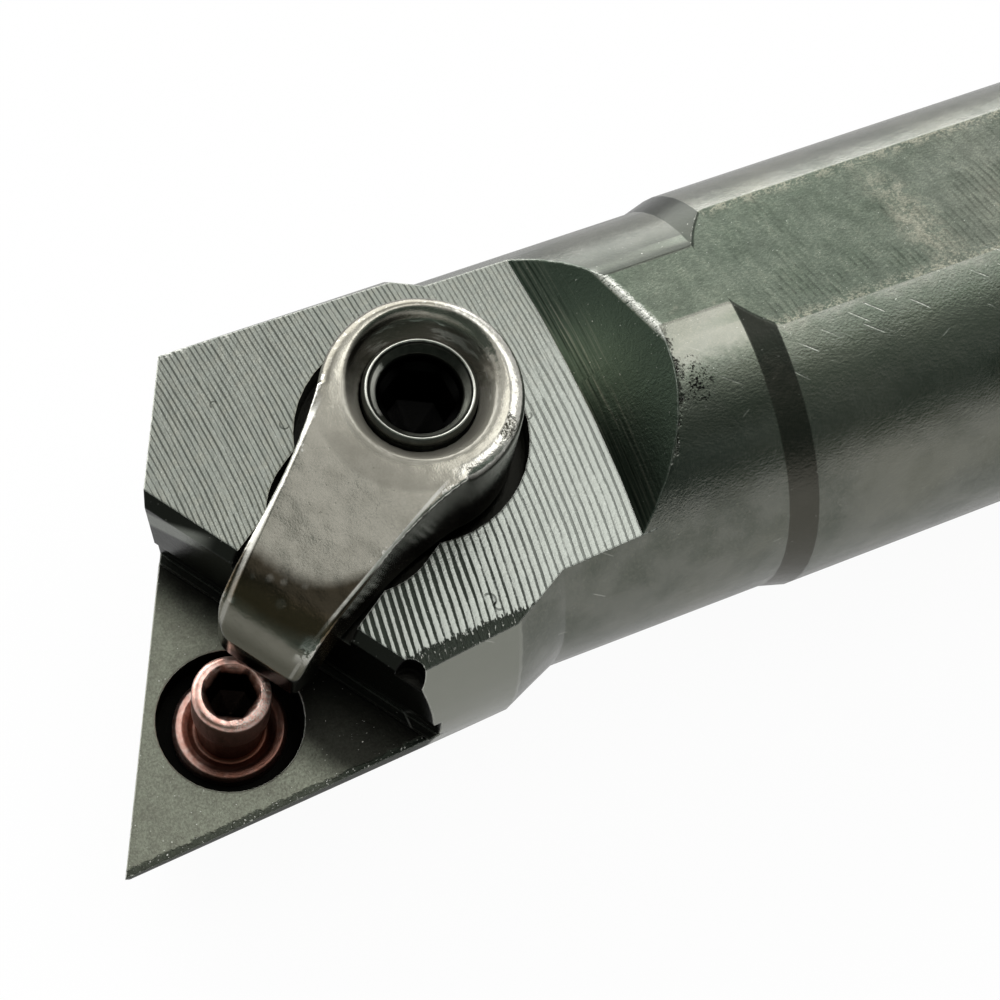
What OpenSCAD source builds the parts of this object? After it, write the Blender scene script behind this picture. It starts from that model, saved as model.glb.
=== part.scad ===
// Internal turning bar for negative triangular inserts: a round shank with two flats, a milled head
// with a pin-and-clamp seat, a finger clamp on a two-way screw, and a locating pin in the seat floor.
// X runs from the rear face to the head, Y to the cutting side and Z up from the top flat.

/* [Shank] */
// Length from the rear face to the tip of the insert that fits the seat
bar_length = 200; // [120:1:300]
// Diameter of the shank
shank_d = 20; // [16:0.5:25]
// Depth of the top flat below the shank's round
top_flat_depth = 0.8; // [0.5:0.05:1.5]
// Depth of the bottom flat
bottom_flat_depth = 0.7; // [0.5:0.05:1.5]
// Chamfer round the rear face
rear_chamfer = 1; // [0.2:0.1:2]

/* [Neck and head] */
// Diameter of the neck behind the head
neck_d = 19.26; // [17:0.02:20]
// Length of the neck behind the milled flat
neck_l = 7.2; // [3:0.1:20]
// Length of the cone between neck and shank
shoulder_l = 1.35; // [0.5:0.05:4]
// Distance from the back of the milled flat to the tip of the insert
head_reach = 27.4; // [24:0.1:34]
// Radius of the head where its rear cone ends
head_r = 10.45; // [9.8:0.05:12]
// Angle of the cone that leads from the neck up to the head
head_ramp = 22.7; // [10:0.1:45]
// How far the head sits toward the cutting side
head_shift = 0.26; // [0:0.02:1]
// Angle by which the head leans toward the cutting side
head_lean = 1.75; // [0:0.05:3]
// Angle at which the head widens toward the tip
head_taper = 1.39; // [0:0.01:3]
// Rise of the top flat from the shank to the neck
flat_rise = 0.24; // [0:0.01:0.28]

/* [Milled flat] */
// Height of the milled flat above the axis at its back edge
milled_h = 6.2; // [4.5:0.1:7.5]
// Tilt of the flat down to the cutting side
radial_tilt = 13.4; // [5:0.1:18]
// Tilt of the flat down to the front
axial_tilt = 2.9; // [0:0.1:8]
// Radius of the curved back edge of the flat
back_r = 73; // [40:1:120]
// Place of the middle of that curve toward the cutting side
back_y = 1.1; // [-3:0.1:3]
// Angle of the ramp behind the flat, from the flat's normal
ramp_angle = 46.5; // [30:0.5:60]

/* [Insert seat] */
// Inscribed circle of the insert
insert_ic = 9.525; // [8:0.005:11]
// Hole through the insert
insert_hole = 3.81; // [3.6:0.01:4.3]
// Depth of the seat floor below the milled flat
seat_depth = 5.9; // [5:0.1:7]
// Direction of the insert's bisector, from the bar axis toward the cutting side
seat_angle = 32.6; // [25:0.1:40]
// Place of the locating pin ahead of the flat's back edge
pin_x = 20.1; // [18:0.1:22]
// Place of the locating pin toward the cutting side
pin_y = 8.2; // [7:0.1:9]
// How far the insert is drawn onto the wall, past the pin's axis
seat_draw = 0.2; // [0:0.05:0.4]
// How far the insert stands out over the front edge of the floor
front_overhang = 0.8; // [0.3:0.05:1.2]
// Relief of the front face, from the flat's normal
front_relief = 7.2; // [3:0.1:12]
// Depth of the relief groove at the foot of the seat wall
groove_d = 0.35; // [0.1:0.05:0.6]
// Height of that groove
groove_h = 1.7; // [1:0.1:2.5]
// Height of the chamfer along the top of the seat wall
wall_chamfer = 0.75; // [0.2:0.05:1.2]
// Diameter of the relief drilled at the end of the seat wall
corner_d = 1.4; // [0.8:0.1:2]
// Place of that relief along the wall from the pin
corner_y = 6.3; // [5:0.1:7]

/* [Clamp screw] */
// Thread diameter that carries the load, taken at the crests of the nut thread
screw_d = 5.2; // [4.6:0.1:6]
// Distance of the screw behind the locating pin
screw_back = 14.2; // [13:0.1:16]
// Height of the screw's top above the milled flat
screw_top = 5; // [4:0.05:6]
// Length of the screw below the milled flat
screw_below = 12.5; // [9:0.5:13.5]
// Size of the hex socket across its flats
screw_hex = 3; // [2:0.5:3.5]
// Depth of that socket
screw_hex_depth = 4.5; // [2.5:0.1:6]
// Diameter of the socket's coned mouth
screw_mouth_d = 4.2; // [3.6:0.1:4.4]
// Running clearance round each threaded shaft
thread_gap = 0.05; // [0.02:0.01:0.1]

/* [Locating pin] */
// Clearance round the pin's head in the insert's hole
pin_gap = 0.12; // [0.06:0.01:0.25]
// Height of the pin above the seat floor
pin_h = 3.9; // [3:0.1:4.2]
// Height of the full-size band at the top of the pin
pin_band = 2.3; // [1.2:0.1:2.6]
// Diameter of the flange
pin_flange_d = 5.3; // [4.6:0.1:6]
// Thickness of the flange
pin_flange_t = 0.9; // [0.5:0.1:1.2]
// Diameter of the counterbore that takes the flange
counterbore_d = 6.8; // [6.2:0.1:7]
// Depth of the counterbore
counterbore_depth = 1.7; // [1.3:0.1:2.2]
// Diameter of the pin's threaded end
pin_thread_d = 4; // [3:0.1:4.4]
// Length of the pin below the seat floor
pin_below = 6; // [4.5:0.1:6.2]
// Size of the pin's hex socket across its flats
pin_hex = 2; // [1.5:0.1:2.2]
// Depth of that socket
pin_hex_depth = 2.6; // [1.5:0.1:3]
// Diameter of the socket's coned mouth
pin_mouth_d = 2.5; // [2.3:0.1:3]

/* [Clamp] */
// Radius of the clamp's round end
boss_r = 4.6; // [4:0.05:4.7]
// Height of the clamp's top above the milled flat
clamp_top = 4.9; // [4.2:0.05:5.6]
// Depth of the clamp's foot below the milled flat
clamp_foot = 1.2; // [0.6:0.05:1.2]
// Half width of the finger at its waist
waist_w = 2.85; // [2.5:0.05:3]
// Half width of the nose
nose_w = 2.4; // [1.6:0.05:2.6]
// Length of the nose over the head of the locating pin
nose_lap = 0.5; // [0.1:0.05:1]
// Height of the finger's top above the milled flat, where it bends down to the nose
bend_top = 2.45; // [2:0.05:3]
// Gap between the nose and the top of the locating pin
nose_gap = 0.25; // [0.1:0.05:0.5]
// Depth of the round recess under the clamp
recess_depth = 1.5; // [1.5:0.1:2.5]
// Clearance between the clamp's round end and its recess
recess_gap = 0.8; // [0.6:0.1:1.2]
// Clearance on each side of the finger in its channel
channel_gap = 0.35; // [0.15:0.05:0.4]

/* [Hidden] */
$fn = 96;
past = 1;

flat_x = bar_length - head_reach;
shank_r = shank_d / 2;
neck_r = neck_d / 2;
shank_end = flat_x - neck_l - shoulder_l;
rise_lead = 0.3;
rise_tail = 0.15;
top_flat = shank_r - top_flat_depth;
bottom_flat = shank_r - bottom_flat_depth;
head_start = 4.5;
head_step = 2.9;
head_l = head_reach + 4;
cutter_h = 10;

wall_w = -(insert_ic / 2 - seat_draw);
front_w = insert_ic / 2 - front_overhang;
front_top_w = front_w + seat_depth * tan(front_relief);
floor_h = -seat_depth;
pin_d = insert_hole - 2 * pin_gap;
pin_top = floor_h + pin_h;
pin_seat = floor_h - counterbore_depth;
pin_hole_depth = pin_below + 0.6;
corner_depth = 1.2;

screw_hole_d = screw_d + 2 * thread_gap;
screw_end_d = screw_d - 0.5;
screw_hole_depth = screw_below + 1.2;
screw_tip = 0.5;
mid_neck_d = screw_d - 0.7;

nose_reach = screw_back - pin_d / 2 + nose_lap;
waist_back = 5.7;
waist_x = nose_reach - waist_back;
recess_r = boss_r + recess_gap;
channel_w = waist_w + channel_gap;
side_pocket_x = boss_r + 0.1;
side_pocket_gap = 1.1;
side_pocket_r = waist_w + side_pocket_gap;
channel_depth = 1.2;
sole_depth = channel_depth - 0.3;
foot_chamfer = 0.3;
dish_r = 3.4;
dish_depth = 0.7;
dish_foot_r = screw_hole_d / 2 + 0.15;
rim_r = 0.6;
slope_x = 3.2;
slope_r = 12;
root_angle = 60;
flank_x = 4.7;
flank_w = 3.1;
bend_back = 2.7;
bend_x = nose_reach - bend_back;
bend_r = 4;
slope_angle = atan((clamp_top - bend_top) / (bend_x - slope_x));
bend_angle = 55;
nose_l = 1.5;
front_corner_r = 1.3;
side_corner_r = 0.4;
nose_foot = pin_top + nose_gap;

// Points of an arc about c, from angle a to angle b
function arc(c, r, a, b, n = 10) = [for (i = [0:n]) c + r * [cos(a + (b - a) * i / n), sin(a + (b - a) * i / n)]];

// Points of a curve from a to c that sets off and ends toward b
function curve(a, b, c, n = 6) = [for (i = [0:n]) let (t = i / n) pow(1 - t, 2) * a + 2 * t * (1 - t) * b + t * t * c];

// The frame of the milled flat: x to the front, y to the cutting side, z along its normal
module on_head() {
    translate([flat_x, 0, milled_h]) rotate([-radial_tilt, 0, 0]) rotate([0, axial_tilt, 0]) children();
}

// The frame of the seat: at the locating pin, x along the insert's bisector to the tip
module on_seat() {
    on_head() translate([pin_x, pin_y, 0]) rotate([0, 0, seat_angle]) children();
}

// The frame of the clamp: at the screw, x along the finger
module on_clamp() {
    on_seat() translate([-screw_back, 0, 0]) children();
}

// A hex socket with a coned mouth, sunk from z = 0
module hex_socket(size, depth, mouth_d) {
    across = size / cos(30);
    translate([0, 0, -depth]) cylinder(h = depth + past, d = across, $fn = 6);
    translate([0, 0, -depth - size / 4]) cylinder(h = size / 4 + 0.01, d1 = 0.2, d2 = size);
    translate([0, 0, -(mouth_d - size) / 2]) cylinder(h = (mouth_d - size) / 2 + 0.01, d1 = size, d2 = mouth_d);
}

module shank_and_neck() {
    rotate([0, 90, 0]) rotate_extrude() polygon([
        [0, 0], [shank_r - rear_chamfer, 0], [shank_r, rear_chamfer], [shank_r, shank_end],
        [neck_r, shank_end + shoulder_l], [neck_r, flat_x + head_start + head_step],
        [0, flat_x + head_start + head_step]
    ]);
}

// The head leans off the bar axis; the cone that leads up to it is turned true to the axis
module head_blank() {
    lead = 0.5;
    turned_l = head_l + lead;
    intersection() {
        translate([flat_x + head_start - past, head_shift, 0]) rotate([0, 0, head_lean]) rotate([0, 90, 0])
            cylinder(h = head_l, r1 = head_r - head_step * tan(head_taper), r2 = head_r + head_l * tan(head_taper));
        translate([flat_x + head_start - lead, 0, 0]) rotate([0, 90, 0])
            cylinder(h = turned_l, r1 = neck_r - lead * tan(head_ramp), r2 = neck_r + head_l * tan(head_ramp));
    }
}

// Both shank flats; the top one rises over the shoulder to the neck
module shank_flats() {
    over = shank_r + past;
    neck_flat = top_flat + flat_rise;
    rotate([90, 0, 0]) linear_extrude(height = 2 * over, center = true) {
        polygon([
            [-past, top_flat], [shank_end - rise_lead, top_flat],
            [shank_end + shoulder_l + rise_tail, neck_flat],
            [flat_x + 6, neck_flat], [flat_x + 6, over], [-past, over]
        ]);
        translate([-past, -over]) square([flat_x + past, over - bottom_flat]);
    }
}

// Everything above the milled flat, back to the curved ramp
module flat_cut() {
    on_head() translate([back_r, back_y, 0])
        cylinder(h = cutter_h, r1 = back_r, r2 = back_r + cutter_h * tan(ramp_angle), $fn = 180);
}

module front_cut() {
    on_seat() rotate([0, 0, -60]) translate([front_top_w, 0, 0]) rotate([0, front_relief, 0])
        translate([0, -40, -40]) cube([40, 80, 80]);
}

// The step that the insert sits in: floor, wall, foot groove and the wall's top chamfer
module seat_cut() {
    on_seat() {
        translate([wall_w, -30, floor_h]) cube([40, 60, seat_depth + cutter_h]);
        translate([wall_w - groove_d, -30, floor_h - 0.15]) cube([groove_d + 0.15, 60, groove_h + 0.15]);
        translate([wall_w, 0, -wall_chamfer]) rotate([0, -30, 0]) translate([0, -30, 0]) cube([5, 60, 5]);
        translate([wall_w, corner_y, -corner_depth]) cylinder(h = 5, d = corner_d);
    }
}

// Round recess and channel that the clamp drops into, and the tapped hole for its screw
module clamp_recess() {
    on_clamp() {
        translate([0, 0, -recess_depth]) cylinder(h = cutter_h, r = recess_r);
        translate([side_pocket_x, 0, -channel_depth]) cylinder(h = cutter_h, r = side_pocket_r);
        translate([0, -side_pocket_r, -channel_depth]) cube([side_pocket_x, 2 * side_pocket_r, cutter_h]);
        translate([0, -channel_w, -channel_depth]) cube([screw_back, 2 * channel_w, cutter_h]);
        translate([0, 0, -screw_hole_depth]) cylinder(h = screw_hole_depth + past, d = screw_hole_d);
    }
}

module pin_hole() {
    on_seat() {
        translate([0, 0, pin_seat]) cylinder(h = counterbore_depth + past, d = counterbore_d);
        translate([0, 0, floor_h - pin_hole_depth]) cylinder(h = pin_hole_depth, d = pin_thread_d + 2 * thread_gap);
    }
}

module bar_body() {
    color("#3c4743") difference() {
        union() {
            shank_and_neck();
            head_blank();
        }
        shank_flats();
        flat_cut();
        front_cut();
        seat_cut();
        clamp_recess();
        pin_hole();
    }
}

// Side view of all that lies under the clamp's top: level round the screw, sloping down, then bent
function top_outline() =
    let (centre = [bend_x, bend_top] - bend_r * [sin(slope_angle), cos(slope_angle)],
         crown = [slope_x - slope_r * tan(slope_angle / 2), clamp_top - slope_r],
         back = -boss_r - past,
         ahead = nose_reach + past)
    concat(
        [[back, -cutter_h], [back, clamp_top]],
        arc(crown, slope_r, 90, 90 - slope_angle, 6),
        arc(centre, bend_r, 90 - slope_angle, 90 - bend_angle),
        [[ahead, -past * tan(bend_angle)], [ahead, -cutter_h]]
    );

// Side view of all that lies over the finger's sole, which steps down to the nose past the seat wall
function sole_outline() = [
    [0, -sole_depth], [0, cutter_h], [nose_reach + past, cutter_h], [nose_reach + past, nose_foot],
    [nose_reach - nose_l, nose_foot], [screw_back + wall_w + 0.45, -sole_depth]
];

module side_view(points) {
    rotate([90, 0, 0]) linear_extrude(height = 4 * boss_r, center = true) polygon(points);
}

// Plan view of the finger: from the round end, past its waist, to a nose with rounded corners
module finger_plan() {
    root = boss_r * [cos(root_angle), sin(root_angle)];
    flank = curve(root, [flank_x, flank_w], [waist_x, waist_w]);
    lean = atan((waist_w - nose_w) / (nose_reach - waist_x));
    polygon(concat(
        [[0, 0]],
        [for (p = flank) [p[0], -p[1]]],
        arc([nose_reach - front_corner_r, front_corner_r - nose_w], front_corner_r, lean - 90, 0),
        arc([nose_reach - side_corner_r, nose_w - side_corner_r], side_corner_r, 0, 90 - lean),
        [for (i = [len(flank) - 1:-1:0]) flank[i]]
    ));
}

module clamp() {
    color("#6d6a60") on_clamp() difference() {
        intersection() {
            union() {
                rotate_extrude() polygon(concat(
                    [[0, -clamp_foot], [boss_r - foot_chamfer, -clamp_foot], [boss_r, foot_chamfer - clamp_foot]],
                    arc([boss_r - rim_r, clamp_top - rim_r], rim_r, 0, 90, 6),
                    [[0, clamp_top]]
                ));
                intersection() {
                    translate([0, 0, -cutter_h]) linear_extrude(height = 2 * cutter_h) finger_plan();
                    side_view(sole_outline());
                }
            }
            side_view(top_outline());
        }
        translate([0, 0, clamp_top - dish_depth])
            cylinder(h = dish_depth + past, r1 = dish_foot_r, r2 = dish_r + past * (dish_r - dish_foot_r) / dish_depth);
        translate([0, 0, -clamp_foot - past]) cylinder(h = cutter_h, d = screw_hole_d);
    }
}

// A screw with opposite threads above and below a turned neck
module clamp_screw() {
    r = screw_d / 2;
    mid = -(clamp_foot + recess_depth) / 2;
    color("#1d1f1c") on_clamp() difference() {
        rotate_extrude() polygon([
            [0, -screw_below], [r - screw_tip, -screw_below], [r, -screw_below + screw_tip],
            [r, mid - 0.9], [mid_neck_d / 2, mid - 0.5], [mid_neck_d / 2, mid + 0.5], [r, mid + 0.9],
            [r, screw_top - 0.35], [screw_end_d / 2, screw_top], [0, screw_top]
        ]);
        translate([0, 0, screw_top]) hex_socket(screw_hex, screw_hex_depth, screw_mouth_d);
    }
}

module locating_pin() {
    r = pin_d / 2;
    flange_r = pin_flange_d / 2;
    flange_top = pin_seat + pin_flange_t;
    thread_r = pin_thread_d / 2;
    neck = r - 0.3;
    band_foot = pin_top - pin_band;
    color("#b5745c") on_seat() difference() {
        rotate_extrude() polygon([
            [0, floor_h - pin_below], [thread_r - 0.4, floor_h - pin_below],
            [thread_r, floor_h - pin_below + 0.4], [thread_r, pin_seat], [flange_r, pin_seat],
            [flange_r, flange_top - 0.15], [flange_r - 0.15, flange_top], [flange_r - 0.5, flange_top],
            [neck + 0.15, flange_top - 0.45], [neck, flange_top - 0.3], [neck, band_foot - 0.25],
            [r, band_foot], [r, pin_top - 0.15], [r - 0.15, pin_top], [0, pin_top]
        ]);
        translate([0, 0, pin_top]) hex_socket(pin_hex, pin_hex_depth, pin_mouth_d);
    }
}

bar_body();
clamp();
clamp_screw();
locating_pin();
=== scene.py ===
import bpy
import bmesh
import math
from mathutils import Euler, Matrix, Vector, noise
from types import SimpleNamespace


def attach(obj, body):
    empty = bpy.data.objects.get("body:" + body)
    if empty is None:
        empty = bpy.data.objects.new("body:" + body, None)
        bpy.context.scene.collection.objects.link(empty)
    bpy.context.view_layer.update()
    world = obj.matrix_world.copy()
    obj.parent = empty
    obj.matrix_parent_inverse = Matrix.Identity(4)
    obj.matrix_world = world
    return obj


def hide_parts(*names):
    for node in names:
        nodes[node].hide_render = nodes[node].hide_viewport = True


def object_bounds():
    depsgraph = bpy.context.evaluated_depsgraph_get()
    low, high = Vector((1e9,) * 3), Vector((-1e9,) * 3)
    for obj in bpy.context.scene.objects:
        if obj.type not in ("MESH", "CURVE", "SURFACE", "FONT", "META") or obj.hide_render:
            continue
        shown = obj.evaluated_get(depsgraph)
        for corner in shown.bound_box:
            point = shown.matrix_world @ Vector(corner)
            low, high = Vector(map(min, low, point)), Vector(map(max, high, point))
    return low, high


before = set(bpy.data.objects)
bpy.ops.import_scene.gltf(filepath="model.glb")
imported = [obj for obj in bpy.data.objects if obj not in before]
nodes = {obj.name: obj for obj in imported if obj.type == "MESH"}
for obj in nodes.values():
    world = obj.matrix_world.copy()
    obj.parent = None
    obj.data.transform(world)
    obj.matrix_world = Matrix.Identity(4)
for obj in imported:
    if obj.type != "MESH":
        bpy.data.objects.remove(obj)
cadBox = [list(corner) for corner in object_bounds()]
mm = 0.001
white = (1, 1, 1, 1)

# Places that the pieces and the finishes share with the CAD, in millimetres and degrees
shank = {"end": 164.05, "coneEnd": 165.4, "flat": 9.2, "radius": 10.0, "neckRadius": 9.63}
head = {"flatX": 172.6, "flatZ": 6.2, "radialTilt": 13.4, "axialTilt": 2.9,
        "backRadius": 73.0, "backY": 1.1, "rampAngle": 46.5,  # the milled flat's back edge, and the ramp above it
        "axisX": 176.1, "axisY": 0.26, "radius": 10.38, "lean": 1.75, "taper": 1.39}  # the head's round outside
seat = {"pinX": 20.1, "pinY": 8.2, "angle": 32.6, "floor": -5.9, "wall": -4.5625, "wallBack": -6.0, "cutEdge": 4.77,
        "bore": 3.45, "reliefY": 6.3, "reliefRadius": 0.76, "reliefMiddle": -0.63, "reliefHalf": 0.57}
recess = {"screwBack": 14.2, "radius": 5.5, "channelHalf": 3.35, "channelEnd": 9.6, "sideX": 4.7, "sideRadius": 4.1,
          "floor": -3.0}


def headPlace():
    tilt = Euler((math.radians(-head["radialTilt"]), 0, 0)).to_matrix() @ Euler(
        (0, math.radians(head["axialTilt"]), 0)).to_matrix()
    return Matrix.Translation((head["flatX"], 0, head["flatZ"])) @ tilt.to_4x4()


def seatPlace():
    return headPlace() @ Matrix.Translation((seat["pinX"], seat["pinY"], 0)) @ Matrix.Rotation(
        math.radians(seat["angle"]), 4, "Z")


def clampPlace():
    return seatPlace() @ Matrix.Translation((-recess["screwBack"], 0, 0))


def paint(red, green, blue):
    # a screen colour, 0 to 255, as the linear colour that a socket takes
    def linear(value):
        value /= 255
        return value / 12.92 if value <= 0.04045 else ((value + 0.055) / 1.055) ** 2.4
    return (linear(red), linear(green), linear(blue), 1)


# One socket of a material. Sums of wires add the Math nodes, | takes the larger of two and & the smaller.
class Wire:
    def __init__(self, finish, socket):
        self.finish = finish
        self.socket = socket

    def math(self, operation, *others):
        return self.finish.add("Math", {"operation": operation}, self, *others)["Value"]

    def flipped(self, operation, other):
        return self.finish.add("Math", {"operation": operation}, other, self)["Value"]

    def __add__(self, other):
        return self.math("ADD", other)

    def __mul__(self, other):
        return self.math("MULTIPLY", other)

    def __sub__(self, other):
        return self.math("SUBTRACT", other)

    def __truediv__(self, other):
        return self.math("DIVIDE", other)

    def __pow__(self, other):
        return self.math("POWER", other)

    def __abs__(self):
        return self.math("ABSOLUTE")

    def __or__(self, other):
        return self.math("MAXIMUM", other)

    def __and__(self, other):
        return self.math("MINIMUM", other)

    def __rsub__(self, other):
        return self.flipped("SUBTRACT", other)

    def __rtruediv__(self, other):
        return self.flipped("DIVIDE", other)

    def __rpow__(self, other):
        return self.flipped("POWER", other)

    __radd__ = __add__
    __rmul__ = __mul__
    __ror__ = __or__
    __rand__ = __and__


# A node that was added, whose outputs are taken by name
class Added:
    def __init__(self, finish, node):
        self.finish = finish
        self.node = node

    def __getitem__(self, output):
        return Wire(self.finish, self.node.outputs[output])


# A material, or the world, while its nodes are being laid
class Finish:
    def __init__(self, owner):
        owner.use_nodes = True
        self.owner = owner
        self.tree = owner.node_tree
        self.tree.nodes.clear()

    def add(self, kind, settings=None, *values, **named):
        # any node: its settings, its first inputs in order, and others by name, with _ for a space
        node = self.tree.nodes.new("ShaderNode" + kind)
        for key, value in (settings or {}).items():
            setattr(node, key, value)
        for key, value in list(enumerate(values)) + [(key.replace("_", " "), value) for key, value in named.items()]:
            if isinstance(value, Wire):
                self.tree.links.new(value.socket, node.inputs[key])
            elif value is not None:  # None leaves an input as it is
                node.inputs[key].default_value = value
        return Added(self, node)

    def mixed(self, share, below, above):
        # a Mix node takes its colours at inputs 6 and 7, and gives one at output 2
        return self.add("Mix", {"data_type": "RGBA"}, share, *[None] * 5, below, above)[2]

    def layered(self, colour, *layers):
        # each layer is a share, and the colour that it lays over what came before
        for share, above in layers:
            colour = self.mixed(share, colour, above)
        return colour

    def ease(self, value, low, high, fromLow=0.0, toHigh=1.0):
        # from fromLow at low to toHigh at high, with a soft change between
        return self.add("MapRange", {"interpolation_type": "SMOOTHSTEP"}, value, low, high, fromLow, toHigh)["Result"]

    def band(self, value, middle, width, soft):
        # 1 within width of the middle, with a soft edge
        return self.ease(abs(value - middle), width + soft, width)

    def grain(self, place, size, detail, rough):
        # noise with features of that size in millimetres, centred on 0.5
        return self.add("TexNoise", {"noise_dimensions": "3D"}, Vector=place, Scale=1 / size, Detail=detail,
                        Roughness=rough)["Fac"]

    def grains(self, place, kinds):
        # a group that holds the place and its grains by name, each of a size, a detail and a roughness
        return SimpleNamespace(place=place, **{name: self.grain(place, *kind) for name, kind in kinds.items()})

    def along(self, place, origin, direction):
        # how far a place lies along a direction from an origin
        away = self.add("VectorMath", {"operation": "SUBTRACT"}, place, tuple(origin))["Vector"]
        return self.add("VectorMath", {"operation": "DOT_PRODUCT"}, away, tuple(direction))["Value"]

    def joined(self, x, y, z):
        return self.add("CombineXYZ", None, x, y, z)["Vector"]

    def millimetres(self):
        # the place on the piece in the part's own frame
        spot = self.add("TexCoord")["Object"]
        return self.add("VectorMath", {"operation": "SCALE"}, spot, Scale=1000)["Vector"]

    def placed(self, place, matrix):
        # the place in the frame of a matrix, as x, y and z
        return [self.along(place, matrix.translation, matrix.col[axis].to_3d()) for axis in range(3)]

    def bumped(self, height, **more):
        return self.add("Bump", None, Strength=1.0, Distance=mm, Height=height, **more)["Normal"]

    def close(self, surface):
        self.add("OutputMaterial", None, surface)

    def closeMetal(self, colour, metallic, rough, normal):
        self.close(self.add("BsdfPrincipled", None, Base_Color=colour, Metallic=metallic, Roughness=rough,
                            Normal=normal)["BSDF"])


def apart(across, up):
    # the distance of a place from a centre, from its two legs
    return (across ** 2 + up ** 2) ** 0.5


def bumps(at, depths):
    # the height that the grains give together, in millimetres
    return sum(getattr(at, name) * depth for name, depth in depths.items())


def newFinish(name):
    return Finish(bpy.data.materials.new(name))


def dress(piece, finish):
    piece.data.materials.clear()
    piece.data.materials.append(finish.owner)


# Camera
camera = {"place": (0.215905, 0.070488, 0.105913), "azimuth": 150.2336, "elevation": 53.185, "roll": 4.7595,
          "focalPixels": 2792.2, "pixels": 1000, "sensor": 36, "near": 0.005, "far": 20}


def addCamera(c):
    turn, lift, roll = (math.radians(c[key]) for key in ("azimuth", "elevation", "roll"))
    back = Vector((math.sin(turn) * math.cos(lift), -math.cos(turn) * math.cos(lift), math.sin(lift)))
    right = Vector((math.cos(turn), math.sin(turn), 0))
    up = back.cross(right)
    side = math.cos(roll) * right + math.sin(roll) * up
    top = -math.sin(roll) * right + math.cos(roll) * up
    lens = bpy.data.cameras.new("camera")
    lens.sensor_width = c["sensor"]
    lens.lens = c["focalPixels"] * c["sensor"] / c["pixels"]
    lens.clip_start, lens.clip_end = c["near"], c["far"]
    eye = bpy.data.objects.new("camera", lens)
    pose = Matrix((side, top, back)).transposed().to_4x4()
    pose.translation = c["place"]
    eye.matrix_world = pose
    bpy.context.scene.collection.objects.link(eye)
    bpy.context.scene.camera = eye


addCamera(camera)
bpy.context.scene.view_settings.view_transform = "Standard"
print("camera set")


# World: a soft light overhead and behind the bar, dimmer above the cutting side and in front of the head. A pair
# gives where along X, Y or Z of the direction a change starts and ends.
room = {"behind": 0.75, "farSide": 3.8, "toFarSide": (-0.4, -0.85), "toCuttingSide": (0.33, 0.54),
        "upperSide": 0.3, "cuttingSide": 0.07, "downSide": (0.62, 0.85),
        "front": 0.06, "toFront": (0.42, 0.56), "frontPart": (-0.35, -0.1), "low": 0.16, "toLow": (0.2, -0.05),
        "lampWay": (-0.4, 0.1, 0.9), "lamp": 1.75, "lampEdge": (0.9, 0.965), "lampPart": (0.46, 0.28),
        "shade": (0.7, 1.0, 0.84, 1), "shadeLevel": (0.35, 0.1)}


def addRoom(r):
    world = bpy.data.worlds.new("room")
    bpy.context.scene.world = world
    f = Finish(world)
    way = f.add("TexCoord")["Generated"]
    axes = f.add("SeparateXYZ", None, way)
    toCuttingSide = f.ease(axes["Y"], *r["toCuttingSide"])
    level = f.ease(axes["Y"], *r["toFarSide"], r["behind"], r["farSide"]) * (1 - toCuttingSide)
    level = level + f.ease(axes["Y"], *r["downSide"], r["upperSide"], r["cuttingSide"]) * toCuttingSide
    toFront = f.ease(axes["X"], *r["toFront"]) * f.ease(axes["Y"], *r["frontPart"])
    level = level * (1 - toFront) + (r["front"] + f.ease(axes["Z"], *r["toLow"]) * r["low"]) * toFront
    lamp = f.ease(f.along(way, (0, 0, 0), Vector(r["lampWay"]).normalized()), *r["lampEdge"])
    level = level + lamp * f.ease(axes["Y"], *r["lampPart"]) * r["lamp"]
    tint = f.mixed(f.ease(level, *r["shadeLevel"]), white, r["shade"])
    light = f.add("Background", None, tint, level)
    plain = f.add("Background", None, white, 1.0)
    rays = f.add("LightPath")
    both = f.add("MixShader", None, rays["Is Camera Ray"], light["Background"], plain["Background"])
    f.add("OutputWorld", None, both["Shader"])


addRoom(room)
print("light set")


# Floor
ground = {"size": 3.0, "middleX": 0.1, "colour": (0.86, 0.86, 0.86, 1), "seen": 0.96, "mirrored": 0.92,
          "mirroredGlow": 0.6}


def addGround(g):
    low = cadBox[0][2]
    half = g["size"] / 2
    corners = [(x * half + g["middleX"], y * half, low) for x, y in ((-1, -1), (1, -1), (1, 1), (-1, 1))]
    mesh = bpy.data.meshes.new("floor")
    mesh.from_pydata(corners, [], [(0, 1, 2, 3)])
    floor = bpy.data.objects.new("floor", mesh)
    bpy.context.scene.collection.objects.link(floor)
    f = newFinish("floor white")
    rays = f.add("LightPath")
    mirrored = rays["Is Glossy Ray"] | rays["Is Transmission Ray"]
    seen = rays["Is Camera Ray"] * g["seen"] | mirrored * g["mirrored"]
    card = f.add("BsdfDiffuse", None, g["colour"])
    glow = f.add("Emission", None, white, 1 - mirrored * (1 - g["mirroredGlow"]))
    f.close(f.add("MixShader", None, seen, card["BSDF"], glow["Emission"])["Shader"])
    dress(floor, f)


addGround(ground)
print("floor set")


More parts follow.
